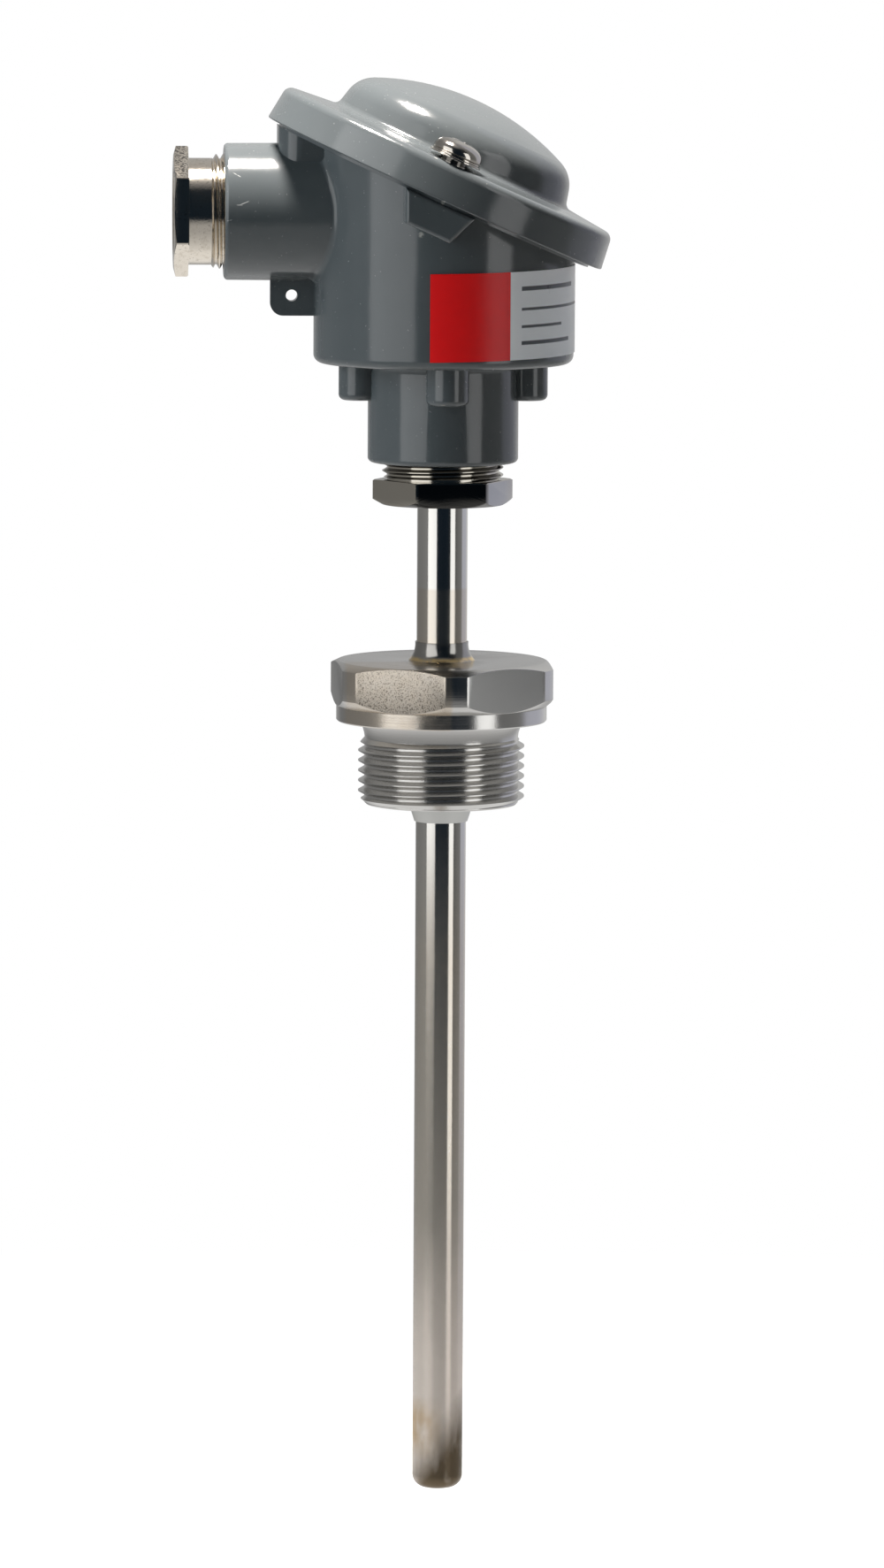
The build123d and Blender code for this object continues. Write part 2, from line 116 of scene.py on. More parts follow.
def grain(g, size, detail=4.0, rough=0.5, stretch=(1, 1, 1), out=0):
    # noise whose features are about that many millimetres, drawn out along an axis by stretch
    spot = g.add("TexCoord", out=3)
    moved = g.add("Mapping", inputs={0: spot, 3: tuple(1 / (size * mm * s) for s in stretch)})
    return g.add("TexNoise", inputs={"Vector": moved, "Scale": 1.0, "Detail": detail, "Roughness": rough}, out=out)


def blend(g, factor, first, second):
    def asColour(value):
        return (*value, 1) if isinstance(value, tuple) else value
    return g.add("Mix", {"data_type": "RGBA"}, {0: factor, 6: asColour(first), 7: asColour(second)}, out=2)


def bump(g, shader, height, depth, strength=1.0, base=None):
    links = {"Height": height, "Distance": depth * mm, "Strength": strength}
    if base:
        links["Normal"] = base
    raised = g.add("Bump", inputs=links)
    g.tree.links.new(raised.socket, shader.inputs["Normal"])
    return raised


def feed(shader, socket, wire):
    wire.tree.links.new(wire.socket, shader.inputs[socket])


def scratch(x, z, mark):
    # a thin straight mark on the front, seen along y; mark holds its middle, length, slope and width
    across, along = cos(radians(mark["slope"])), sin(radians(mark["slope"]))
    run = (x - mark["x"]) * across + (z - mark["z"]) * along
    off = (z - mark["z"]) * across - (x - mark["x"]) * along
    return run.within(-mark["length"] / 2, mark["length"] / 2, 0.2) * off.within(-mark["width"] / 2, mark["width"] / 2, 0.04)


def spot(x, z, middle, radius):
    dx, dz = x - middle[0], z - middle[1]
    far = dx * dx + dz * dz
    return 1 - far.maths("SQRT", far).above(radius, radius * 0.4)


def greyEnamel():
    look = {"paint": (0.070, 0.080, 0.085), "pale": (0.080, 0.089, 0.094), "dust": (0.20, 0.21, 0.20),
            "burr": (0.30, 0.30, 0.28), "bare": (0.42, 0.43, 0.42), "burrs": [((-5.8, 97.5), 0.5), ((-2.0, 104.2), 0.35)],
            "marks": [{"x": -40.0, "z": 102.9, "length": 2.2, "slope": 22, "width": 0.13},
                      {"x": -40.8, "z": 102.6, "length": 1.0, "slope": -8, "width": 0.16},
                      {"x": -41.2, "z": 108.4, "length": 1.5, "slope": -28, "width": 0.11},
                      {"x": -42.7, "z": 99.6, "length": 0.9, "slope": 12, "width": 0.10}]}
    made, shader, g = startMaterial("greyEnamel", rough=0.2, Specular_IOR_Level=0.65)
    x, y, z = place(g)
    front = 1 - y.above(0, 1)
    cloud = grain(g, 14, detail=3)
    specks = grain(g, 0.55, detail=2).above(0.735, 0.012)
    colour = blend(g, cloud.above(0.5, 0.25), look["paint"], look["pale"])
    colour = blend(g, specks * 0.5, colour, look["dust"])
    ragged = grain(g, 0.5, detail=2).above(0.42, 0.12) * front
    for mark in look["marks"]:
        colour = blend(g, scratch(x, z, mark) * ragged, colour, look["bare"])
    for middle, radius in look["burrs"]:
        colour = blend(g, spot(x, z, middle, radius) * ragged, colour, look["burr"])
    feed(shader, "Base Color", colour)
    feed(shader, "Roughness", 0.11 + grain(g, 3.0, detail=5) * 0.07 + specks * 0.2)
    peel = bump(g, shader, grain(g, 1.4, detail=2), 0.02, 0.35)
    bump(g, shader, grain(g, 9.0, detail=2), 0.18, 0.25, base=peel)
    return made


def tubeSteel():
    # polished, beige and duller from the middle down, with a straw patch and a dark tip
    look = {"steel": (0.62, 0.61, 0.58), "beige": (0.60, 0.55, 0.48), "warm": (0.94, 0.84, 0.75),
            "straw": (0.66, 0.44, 0.20), "brown": (0.16, 0.12, 0.075), "polishedFrom": 26.4,
            "hazeFrom": -34, "warmFrom": -112, "tip": -144.5}
    made, shader, g = startMaterial("tubeSteel", rough=0.2, metal=1.0)
    x, y, z = place(g)
    patchy = grain(g, 5, detail=4, stretch=(1, 1, 2.4))
    fine = grain(g, 1.1, detail=4, stretch=(1, 1, 1.6))
    streaks = grain(g, 0.7, detail=3, stretch=(1, 1, 60))
    haze = 1 - z.above(look["hazeFrom"], 14)
    warm = 1 - (z + patchy * 14).above(look["warmFrom"] + 7, 15)
    low = z.within(12, look["polishedFrom"], 0.3)
    colour = blend(g, haze.maths("MAXIMUM", haze, low * 0.8), look["steel"], look["beige"])
    colour = blend(g, warm, colour, look["warm"])
    tint = z.within(-146, -138, 2.5) * (1 - x.above(-0.6, 1.4)) * patchy.above(0.36, 0.12)
    colour = blend(g, tint * 0.85, colour, look["straw"])
    soot = (1 - (z - x * 1.3).above(look["tip"], 5)) * (0.5 + 0.5 * patchy.above(0.40, 0.12))
    colour = blend(g, soot, colour, look["brown"])
    colour = blend(g, z.within(9, 15.5, 1.5) * 0.35 * patchy, colour, look["straw"])
    dust = grain(g, 0.45, detail=2).above(0.70, 0.02) * z.within(-96, -46, 8)
    colour = blend(g, dust * 0.5, colour, (0.75, 0.78, 0.80))
    feed(shader, "Base Color", colour)
    feed(shader, "Metallic", 1 - haze * 0.10 - warm * 0.09)
    feed(shader, "Roughness", 0.09 + low * 0.05 + streaks * 0.05 + haze * fine * 0.06 + warm * 0.09)
    bump(g, shader, grain(g, 0.35, detail=2, stretch=(1, 1, 40)), 0.012, 0.2)
    return made


def turnedSteel():
    # the screwed connection and the nipple: turned faces, and milled flats, the front left one pitted and beige; on
    # the nipple's hexagon the middle front flat is painted black and the right front flat a darker grey, as painted
    # dark reflections, and the nipple's downward faces are painted black as painted shade
    look = {"steel": (0.58, 0.57, 0.55), "brushed": (0.46, 0.46, 0.45), "beige": (0.60, 0.53, 0.44),
            "pit": (0.13, 0.11, 0.09), "nipple": (0.50, 0.47, 0.41), "face": (0.42, 0.42, 0.42), "paintedShadeBlack": (0.06, 0.06, 0.06),
            "flatLow": 3.2, "flatHigh": 12.3}
    made, shader, g = startMaterial("turnedSteel", rough=0.22, metal=1.0)
    x, y, z = place(g)
    radius = (x * x + y * y).maths("SQRT", x * x + y * y)
    facing = g.add("SeparateXYZ", inputs={0: g.add("NewGeometry", out=1)}, out=2)
    upright = 1 - facing.maths("ABSOLUTE", facing).above(0.3, 0.15)
    flat = upright * z.within(look["flatLow"], look["flatHigh"], 0.3) * (1 - radius.above(22.95, 0.08))
    left = x.within(-19.5, 0.9, 0.4) * (1 - y.above(-4, 2)) * z.within(0, 12.3, 0.5)
    upper = z.above(40, 1)
    # the nipple hexagon's front flats get painted dark reflections: the middle one black, the right one a darker grey
    hexOnly = upper * (1 - z.above(47.8, 0.1)) * (1 - y.above(0, 3))
    right, middle = hexOnly * x.above(8.4, 0.3), hexOnly * x.within(-5.6, 8.4, 0.3)
    # painted shade: the nipple's downward faces, its hexagon's lower chamfer and its thread's lower flanks are turned
    # black
    below = upper * (1 - facing.above(-0.35, 0.1))
    worn = grain(g, 2.4, detail=4)
    pits = grain(g, 0.24, detail=2).above(0.57, 0.05) * flat * left * (1.15 - z * 0.05)
    colour = blend(g, flat, look["steel"], look["brushed"])
    colour = blend(g, left * (0.55 + worn * 0.5), colour, look["beige"])
    colour = blend(g, upper, colour, look["nipple"])
    # painted dark reflection on the nipple hexagon's right front flat
    colour = blend(g, right, colour, look["face"])
    # painted black: a dark reflection on the middle front flat, and painted shade on the downward faces
    colour = blend(g, middle.maths("MAXIMUM", middle, below) * 0.9, colour, look["paintedShadeBlack"])
    feed(shader, "Base Color", blend(g, pits, colour, look["pit"]))
    feed(shader, "Roughness", 0.15 + flat * 0.2 + left * worn * 0.12 + grain(g, 1.5) * 0.07 - upper * 0.06)
    rings = g.add("TexNoise", {"noise_dimensions": "1D"}, {"W": radius * 2.2 + z * 2.2, "Scale": 1.0, "Detail": 3.0})
    brushed = bump(g, shader, rings, 0.02, 0.5)
    bump(g, shader, grain(g, 0.3, detail=3), 0.012, 0.6, base=brushed)
    return made


def weldSteel():
    # the upper bead dark and smooth with a thin straw foot, the lower one pale and matt
    look = {"dark": (0.36, 0.35, 0.33), "pale": (0.80, 0.80, 0.77), "straw": (0.80, 0.60, 0.30)}
    made, shader, g = startMaterial("weldSteel", rough=0.28, metal=1.0)
    x, y, z = place(g)
    heat = grain(g, 3.0, detail=3)
    under = 1 - z.above(0, 1)
    colour = blend(g, under, look["dark"], look["pale"])
    colour = blend(g, z.within(12.0, 12.75, 0.25) * heat.above(0.42, 0.1), colour, look["straw"])
    feed(shader, "Base Color", colour)
    feed(shader, "Roughness", 0.13 + heat * 0.08 + under * 0.3)
    bump(g, shader, grain(g, 1.0, detail=3), 0.03, 0.4)
    return made


def nickel():
    # bright nickel with a warm cast, worn and grainy on the hexagon's top
    look = {"bright": (0.74, 0.68, 0.59), "worn": (0.52, 0.46, 0.38), "grime": (0.05, 0.05, 0.05)}
    made, shader, g = startMaterial("nickel", rough=0.12, metal=1.0)
    x, y, z = place(g)
    wear = grain(g, 1.2, detail=5, rough=0.65)
    top = (1 - x.above(-50.6, 0.2)) * z.above(107.9, 0.6)
    colour = blend(g, wear.above(0.60, 0.08) * 0.55, look["bright"], look["worn"])
    dark = grain(g, 0.4, detail=3).above(0.52, 0.07) * top
    grime = dark.maths("MAXIMUM", dark, grain(g, 0.5, detail=2).above(0.68, 0.03) * 0.5)
    feed(shader, "Base Color", blend(g, grime * 0.85, colour, look["grime"]))
    feed(shader, "Roughness", 0.07 + wear * 0.08 + top * 0.03)
    dent = bump(g, shader, grain(g, 2.2, detail=3), 0.04, 0.3)
    bump(g, shader, grain(g, 0.4, detail=3), 0.03, 0.5, base=dent)
    return made


def brightSteel():
    made, shader, g = startMaterial("brightSteel", rough=0.16, metal=1.0)
    shade = grain(g, 1.6, detail=4)
    feed(shader, "Base Color", blend(g, shade, (0.46, 0.43, 0.39), (0.58, 0.55, 0.50)))
    feed(shader, "Roughness", 0.07 + shade * 0.1)
    bump(g, shader, grain(g, 1.4, detail=2), 0.01, 0.25)
    return made


def terminalBrass():
    made, shader, g = startMaterial("terminalBrass", rough=0.25, metal=1.0)
    shade = grain(g, 2.0, detail=4)
    feed(shader, "Base Color", blend(g, shade, (0.68, 0.50, 0.22), (0.80, 0.63, 0.33)))
    feed(shader, "Roughness", 0.18 + shade * 0.16)
    return made


def blackRubber():
    made, shader, g = startMaterial("blackRubber", rough=0.6)
    shade = grain(g, 1.0, detail=4)
    feed(shader, "Base Color", blend(g, shade, (0.018, 0.018, 0.019), (0.035, 0.035, 0.036)))
    feed(shader, "Roughness", 0.5 + shade * 0.25)
    bump(g, shader, grain(g, 0.3), 0.01, 0.5)
    return made


def ceramic():
    made, shader, g = startMaterial("glazedCeramic", rough=0.3, Specular_IOR_Level=0.5)
    shade = grain(g, 4.0, detail=4)
    specks = grain(g, 0.5, detail=2).above(0.70, 0.02)
    colour = blend(g, shade, (0.70, 0.66, 0.57), (0.78, 0.75, 0.67))
    feed(shader, "Base Color", blend(g, specks * 0.6, colour, (0.40, 0.33, 0.25)))
    feed(shader, "Roughness", 0.25 + shade * 0.2)
    bump(g, shader, grain(g, 1.2), 0.02, 0.4)
    return made


def sleeve(name, dark, pale):
    made, shader, g = startMaterial(name, rough=0.35)
    shade = grain(g, 1.5, detail=3)
    feed(shader, "Base Color", blend(g, shade, dark, pale))
    feed(shader, "Roughness", 0.3 + shade * 0.15)
    return made


def labelFilm():
    # a red field and a silver one with plain dark rules, laid out by the angle round the housing
    look = {"red": (0.84, 0.008, 0.010), "silver": (0.88, 0.90, 0.94), "rule": (0.03, 0.033, 0.045), "split": 27.2,
            "rules": [(86.6, 0.85, 33, 72), (82.6, 0.55, 33, 84), (79.2, 0.55, 33, 60), (76.0, 0.75, 33, 68)]}
    made, shader, g = startMaterial("labelFilm", rough=0.3, Specular_IOR_Level=0.3)
    x, y, z = place(g)
    turn = x.maths("ARCTAN2", x, 0 - y) * (180 / pi)
    level = z - turn * (labelStrip["rise"] / labelStrip["span"])
    colour = blend(g, turn.above(look["split"], 0.15), look["red"], look["silver"])
    for height, thick, start, end in look["rules"]:
        line = level.within(height - thick / 2, height + thick / 2, 0.06) * turn.within(start, end, 0.15)
        colour = blend(g, line * 0.9, colour, look["rule"])
    feed(shader, "Base Color", colour)
    feed(shader, "Roughness", 0.26 + grain(g, 3.0) * 0.05)
    bump(g, shader, grain(g, 9.0, detail=2), 0.05, 0.2)
    return made


labelStrip = {"inner": 25.73, "outer": 25.93, "low": 72.65, "high": 89.85, "start": -8.8, "span": 133.8, "rise": 1.1}

finishes = {
    "grey_paint": greyEnamel(),
    "tube_steel": tubeSteel(),
    "connection_steel": turnedSteel(),
    "weld_steel": weldSteel(),
    "bright_steel": brightSteel(),
    "plated_brass": nickel(),
    "terminal_brass": terminalBrass(),
    "black_rubber": blackRubber(),
    "white_ceramic": ceramic(),
    "mineral_powder": ceramic(),
    "label_film": labelFilm(),
    "red_sleeve": sleeve("redSleeve", (0.40, 0.02, 0.015), (0.50, 0.03, 0.02)),
    "white_sleeve": sleeve("whiteSleeve", (0.68, 0.67, 0.63), (0.76, 0.75, 0.71)),
}

for part in frame["record"]["subparts"]:
    mesh = nodes[part["node"]].data
    mesh.materials.clear()
    mesh.materials.append(finishes[part["material_slot"]])
print("materials assigned")


def deselect():
    bpy.ops.object.select_all(action="DESELECT")


def applyPlace(piece):
    deselect()
    piece.select_set(True)
    bpy.context.view_layer.objects.active = piece
    bpy.ops.object.transform_apply(location=True, rotation=True, scale=True)


def drawOutline(name, points):
    # one vertex, drawn out along (radius, height) points in millimetres
    deselect()
    bpy.ops.mesh.primitive_plane_add(size=mm, location=(points[0][0] * mm, 0, points[0][1] * mm))
    piece = bpy.context.object
    piece.name = name
    applyPlace(piece)
    bpy.ops.object.mode_set(mode="EDIT")
    bpy.ops.mesh.select_all(action="SELECT")
    bpy.ops.mesh.merge(type="CENTER")
    for start, end in zip(points, points[1:]):
        step = ((end[0] - start[0]) * mm, 0, (end[1] - start[1]) * mm)
        bpy.ops.mesh.extrude_region_move(TRANSFORM_OT_translate={"value": step})
    bpy.ops.object.mode_set(mode="OBJECT")
    return piece


def closeUp():
    # merged points and outward faces, in edit mode
    bpy.ops.mesh.select_all(action="SELECT")
    bpy.ops.mesh.remove_doubles(threshold=0.001 * mm)
    bpy.ops.mesh.normals_make_consistent(inside=False)


def lathe(name, points, steps=96):
    piece = drawOutline(name, points + points[:1])
    bpy.ops.object.mode_set(mode="EDIT")
    bpy.ops.mesh.select_all(action="SELECT")
    bpy.ops.mesh.spin(steps=steps, angle=2 * pi, center=(0, 0, 0), axis=(0, 0, 1))
    closeUp()
    bpy.ops.object.mode_set(mode="OBJECT")
    return piece


def useModifier(piece, kind, **settings):
    deselect()
    piece.select_set(True)
    bpy.context.view_layer.objects.active = piece
    modifier = piece.modifiers.new("step", kind)
    for name, value in settings.items():
        setattr(modifier, name, value)
    bpy.ops.object.modifier_apply(modifier="step")


def carve(piece, tool, operation):
    useModifier(piece, "BOOLEAN", object=tool, operation=operation, solver="EXACT")
    bpy.data.objects.remove(tool)


def arc(centre, radius, start, end, count=6):
    # points of an arc, in degrees
    turns = [radians(start + (end - start) * i / count) for i in range(count + 1)]
    return [(centre[0] + radius * cos(t), centre[1] + radius * sin(t)) for t in turns]


def helix(name, size, steps=96):
    # a right-handed thread: one pitch of its section, screwed up past both ends, then cut flat
    depth = size["depth"] * size["pitch"]
    flank, crest = depth * tan(radians(30)), size["pitch"] * size["crest"]
    low = size["phase"] - flank - crest / 2
    while low > size["low"] - size["pitch"]:
        low -= size["pitch"]
    outline = [(size["radius"] - depth, low), (size["radius"], low + flank), (size["radius"], low + flank + crest),
               (size["radius"] - depth, low + 2 * flank + crest), (size["radius"] - depth, low + size["pitch"])]
    piece = drawOutline(name, outline)
    turns = int((size["high"] - low) / size["pitch"]) + 2
    useModifier(piece, "SCREW", axis="Z", angle=2 * pi, screw_offset=size["pitch"] * mm, iterations=turns,
                steps=steps, render_steps=steps)
    bpy.ops.object.mode_set(mode="EDIT")
    closeUp()
    for height, side in ((size["low"], "inner"), (size["high"], "outer")):
        bpy.ops.mesh.select_all(action="SELECT")
        bpy.ops.mesh.bisect(plane_co=(0, 0, height * mm), plane_no=(0, 0, 1), use_fill=True,
                            clear_inner=side == "inner", clear_outer=side == "outer")
    closeUp()
    bpy.ops.object.mode_set(mode="OBJECT")
    return piece


def hexagon(name, size, blank):
    # a six-sided bar, turned down to the blank's outline
    deselect()
    radius = size["acrossFlats"] / 2 / cos(radians(30)) * mm
    middle = (size["low"] + size["high"]) / 2 * mm
    bpy.ops.mesh.primitive_cylinder_add(vertices=6, radius=radius, depth=(size["high"] - size["low"]) * mm,
                                        location=(0, 0, middle), rotation=(0, 0, radians(30 + size["turn"])))
    piece = bpy.context.object
    piece.name = name
    applyPlace(piece)
    carve(piece, lathe("blank", blank, 192), "INTERSECT")
    return piece


def softenEdges(piece, width, segments=2, limit=25):
    useModifier(piece, "BEVEL", width=width * mm, segments=segments, limit_method="ANGLE",
                angle_limit=radians(limit), use_clamp_overlap=True)


def joinPieces(name, pieces):
    deselect()
    for piece in pieces:
        piece.select_set(True)
    bpy.context.view_layer.objects.active = pieces[0]
    bpy.ops.object.join()
    joined = bpy.context.object
    joined.name = name
    return joined


def finishPiece(piece, body, slotName, replaced, angle=30):
    deselect()
    piece.select_set(True)
    bpy.context.view_layer.objects.active = piece
    bpy.ops.object.shade_smooth_by_angle(angle=radians(angle))
    piece.data.materials.clear()
    piece.data.materials.append(finishes[slotName])
    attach(piece, body)
    if replaced:
        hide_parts(replaced)
    print("made", piece.name, len(piece.data.polygons), "faces")


# the screwed connection, with its true thread
connection = {"bore": 5.05, "end": -16.6, "collarR": 20.9, "collarH": 3.05, "top": 12.0, "barR": 23.1,
              "hex": {"acrossFlats": 42.0, "low": 3.05, "high": 12.0, "turn": 34.5},
              "thread": {"radius": 16.5, "pitch": 2.0, "depth": 0.6134, "crest": 0.10, "phase": -7.0,
                         "low": -16.3, "high": -3.3}}


def makeConnection():
    size, thread = connection, connection["thread"]
    root = thread["radius"] - thread["depth"] * thread["pitch"] - 0.04
    collar = size["collarR"]
    core = [(size["bore"], size["end"]), (root - 0.3, size["end"]), (root, size["end"] + 0.3)]
    core += [(root, -3.3), (root + 0.12, -2.4), (root + 0.42, -1.4), (root + 0.85, -0.6), (root + 1.35, 0)]
    core += [(collar - 0.25, 0), (collar, 0.25), (collar, size["collarH"]), (size["bore"], size["collarH"])]
    blank = [(0, thread["low"] - 1), (14.8, thread["low"] - 1), (14.8, size["end"]), (16.55, -15.1),
             (16.55, -4.9), (root, -3.4), (0, -3.4)]
    ridges = helix("ridges", thread)
    carve(ridges, lathe("threadBlank", blank), "INTERSECT")
    bar = size["barR"]
    turned = [(size["bore"], 3.04), (collar, 3.04), (bar, 4.9), (bar, 10.8), (bar - 2.5, size["top"]), (size["bore"], size["top"])]
    head = hexagon("hexHead", size["hex"], turned)
    softenEdges(head, 0.1)
    piece = joinPieces("screwedConnection", [head, lathe("collar", core), ridges])
    finishPiece(piece, "sensor_body", "connection_steel", "process_connection")


# the nipple under the head
nipple = {"bore": 5.05, "low": 43.05, "high": 47.95, "top": 63.6,
          "hex": {"acrossFlats": 24.2, "low": 43.05, "high": 47.95, "turn": 4.6},
          "thread": {"radius": 12.0, "pitch": 1.5, "depth": 0.6134, "crest": 0.10, "phase": 48.9,
                     "low": 48.05, "high": 63.5}}


def makeNipple():
    size, thread = nipple, nipple["thread"]
    root = thread["radius"] - thread["depth"] * thread["pitch"] - 0.04
    core = [(size["bore"], size["high"]), (root, size["high"]), (root, size["top"] - 0.3),
            (root - 0.3, size["top"]), (size["bore"], size["top"])]
    blank = [(0, 47.95), (root, 47.95), (12.05, 48.7), (12.05, 62.5), (10.9, 63.7), (0, 63.7)]
    ridges = helix("ridges", thread)
    carve(ridges, lathe("threadBlank", blank), "INTERSECT")
    flat, corner = size["hex"]["acrossFlats"] / 2, size["hex"]["acrossFlats"] / 2 / cos(radians(30))
    chamfer = (corner - flat) * tan(radians(30))
    turned = [(size["bore"], size["low"]), (flat, size["low"]), (corner, size["low"] + chamfer),
              (corner, size["high"] - 0.2), (corner - 0.4, size["high"]), (size["bore"], size["high"])]
    head = hexagon("hexHead", size["hex"], turned)
    softenEdges(head, 0.1)
    piece = joinPieces("threadedNipple", [head, lathe("nippleCore", core), ridges])
    finishPiece(piece, "sensor_body", "connection_steel", "head_nipple")


# the cable entry's pressure screw, made upright and turned on its side
gland = {"bore": 7.5, "end": 36.9, "threadEnd": 46.1, "neckR": 10.5, "neckEnd": 50.5, "top": 53.4, "cornerR": 12.84,
         "axisHeight": 100.7, "hex": {"acrossFlats": 22.4, "low": 50.5, "high": 53.4, "turn": 3.1, "chamfer": 0.45},
         "thread": {"radius": 11.25, "pitch": 1.41, "depth": 0.6, "crest": 0.14, "phase": 45.0,
                    "low": 37.2, "high": 46.0}}


def makeGland():
    size, thread = gland, gland["thread"]
    root = thread["radius"] - thread["depth"] * thread["pitch"] - 0.03
    core = [(size["bore"], size["end"]), (root - 0.3, size["end"]), (root, size["end"] + 0.3), (root, size["threadEnd"])]
    core += [(size["neckR"], size["threadEnd"]), (size["neckR"], size["neckEnd"]), (size["bore"], size["neckEnd"])]
    blank = [(0, 37.0), (root, 37.0), (11.3, 38.0), (11.3, 45.4), (root, 46.1), (0, 46.1)]
    ridges = helix("ridges", thread)
    carve(ridges, lathe("threadBlank", blank), "INTERSECT")
    flat, corner = size["hex"]["acrossFlats"] / 2, size["cornerR"]
    chamfer = size["hex"]["chamfer"]
    turned = [(size["bore"], size["neckEnd"]), (corner - 0.2, size["neckEnd"]), (corner, size["neckEnd"] + 0.2),
              (corner, size["top"] - chamfer), (flat, size["top"]), (size["bore"] + 1.2, size["top"]),
              (size["bore"], size["top"] - 1.2)]
    head = hexagon("hexHead", size["hex"], turned)
    softenEdges(head, 0.12)
    piece = joinPieces("cablePressureScrew", [head, lathe("glandCore", core), ridges])
    piece.matrix_world = Matrix.Translation((0, 0, size["axisHeight"] * mm)) @ Matrix.Rotation(radians(-90), 4, "Y")
    applyPlace(piece)
    finishPiece(piece, "pressure_screw", "plated_brass", "cable_pressure_screw")


# the two springs that hold the insert down
spring = {"wire": 0.4, "radius": 2.55, "low": 74.55, "high": 88.85, "turns": 7.5, "pitchRadius": 16.5,
          "travel": 4.0, "sides": {"insertSpringFront": (-1, "insert_spring_front"), "insertSpringRear": (1, "insert_spring_rear")}}


def makeSprings():
    size = spring
    height = size["high"] - size["low"] - 2 * size["wire"] - 0.1
    for name, (side, replaced) in size["sides"].items():
        deselect()
        bpy.ops.mesh.primitive_circle_add(vertices=12, radius=size["wire"] * mm, rotation=(pi / 2, 0, 0),
                                          location=(size["radius"] * mm, 0, (size["low"] + size["wire"] + 0.05) * mm))
        piece = bpy.context.object
        piece.name = name
        applyPlace(piece)
        useModifier(piece, "SCREW", axis="Z", angle=2 * pi * size["turns"], screw_offset=height * mm,
                    steps=int(28 * size["turns"]), render_steps=int(28 * size["turns"]))
        bpy.ops.object.mode_set(mode="EDIT")
        bpy.ops.mesh.select_all(action="SELECT")
        bpy.ops.mesh.fill_holes(sides=0)
        closeUp()
        bpy.ops.object.mode_set(mode="OBJECT")
        piece.location = (0, side * size["pitchRadius"] * mm, 0)
        applyPlace(piece)
        finishPiece(piece, "sensor_body", "bright_steel", replaced, 60)
        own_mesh(piece)


# the lid's screws, with a rounded pan head, over a flat washer and a split spring washer
lidScrew = {"shank": 2.5, "reach": -4.5, "seat": 9.1, "top": 12.0, "head": 5.0, "slotWide": 0.8, "slotLong": 4.6,
            "slotDeep": 1.0, "slotTurn": 20, "shift": -1.1, "offset": 29.5, "lidSpot": (-1.9, 0, 104.4), "lidTilt": 24.3,
            "washerBore": 2.6, "flat": (8.25, 8.6, 5.3), "split": (8.66, 9.06, 5.0), "gap": 0.7}


def ontoLid(piece, side):
    size = lidScrew
    spot = Matrix.Translation([v * mm for v in size["lidSpot"]]) @ Matrix.Rotation(radians(size["lidTilt"]), 4, "Y")
    piece.matrix_world = spot @ Matrix.Translation((size["shift"] * mm, side * size["offset"] * mm, 0))
    applyPlace(piece)


def makeBox(size, location, turn=0):
    deselect()
    bpy.ops.mesh.primitive_cube_add(size=mm, location=[v * mm for v in location], rotation=(0, 0, radians(turn)))
    piece = bpy.context.object
    piece.scale = size
    applyPlace(piece)
    return piece


def makeLidScrews():
    size = lidScrew
    rise = size["top"] - size["seat"] - 0.45
    for name, side, body in (("Front", -1, "front_lid_screw"), ("Rear", 1, "rear_lid_screw")):
        outline = [(0, size["reach"]), (size["shank"] - 0.3, size["reach"]), (size["shank"], size["reach"] + 0.3),
                   (size["shank"], size["seat"]), (size["head"] - 0.15, size["seat"]), (size["head"], size["seat"] + 0.15)]
        for i in range(12):
            turn = radians(90 * i / 11)
            outline.append((size["head"] * cos(turn) ** 0.72, size["seat"] + 0.45 + rise * sin(turn)))
        outline[-1] = (0, size["top"])
        piece = lathe("lidScrew" + name, outline, 64)
        for turn in (size["slotTurn"], size["slotTurn"] + 90):
            cutter = makeBox((size["slotLong"], size["slotWide"], size["slotDeep"] * 2), (0, 0, size["top"]), turn)
            carve(piece, cutter, "DIFFERENCE")
        softenEdges(piece, 0.06, limit=40)
        ontoLid(piece, side)
        finishPiece(piece, body, "bright_steel", "lid_screw_" + name.lower())
        rings = []
        for low, high, outer in (size["flat"], size["split"]):
            edge = 0.08
            rings.append(lathe("washer", [(size["washerBore"], low), (outer - edge, low), (outer, low + edge),
                                          (outer, high - edge), (outer - edge, high), (size["washerBore"], high)], 64))
        carve(rings[1], makeBox((4, size["gap"], 2), (3.8 * side, 2.4, 8.86), 35 * side), "DIFFERENCE")
        washers = joinPieces("lidWashers" + name, rings)
        ontoLid(washers, side)
        finishPiece(washers, "lid", "bright_steel", "lid_washer_" + name.lower())


def makeLabel():
    # a strip wound round the housing, a little askew
    size = labelStrip
    piece = drawOutline("labelStrip", [(size["inner"], size["low"]), (size["outer"], size["low"]),
                                       (size["outer"], size["high"]), (size["inner"], size["high"]),
                                       (size["inner"], size["low"])])
    useModifier(piece, "SCREW", axis="Z", angle=radians(size["span"]), screw_offset=size["rise"] * mm,
                steps=90, render_steps=90)
    bpy.ops.object.mode_set(mode="EDIT")
    closeUp()
    bpy.ops.mesh.select_all(action="SELECT")
    bpy.ops.mesh.fill_holes(sides=0)
    closeUp()
    bpy.ops.object.mode_set(mode="OBJECT")
    piece.rotation_euler = (0, 0, radians(size["start"] - 90))
    applyPlace(piece)
    finishPiece(piece, "sensor_body", "label_film", "type_label")


makeConnection()
makeNipple()
makeGland()
makeSprings()
makeLidScrews()
makeLabel()


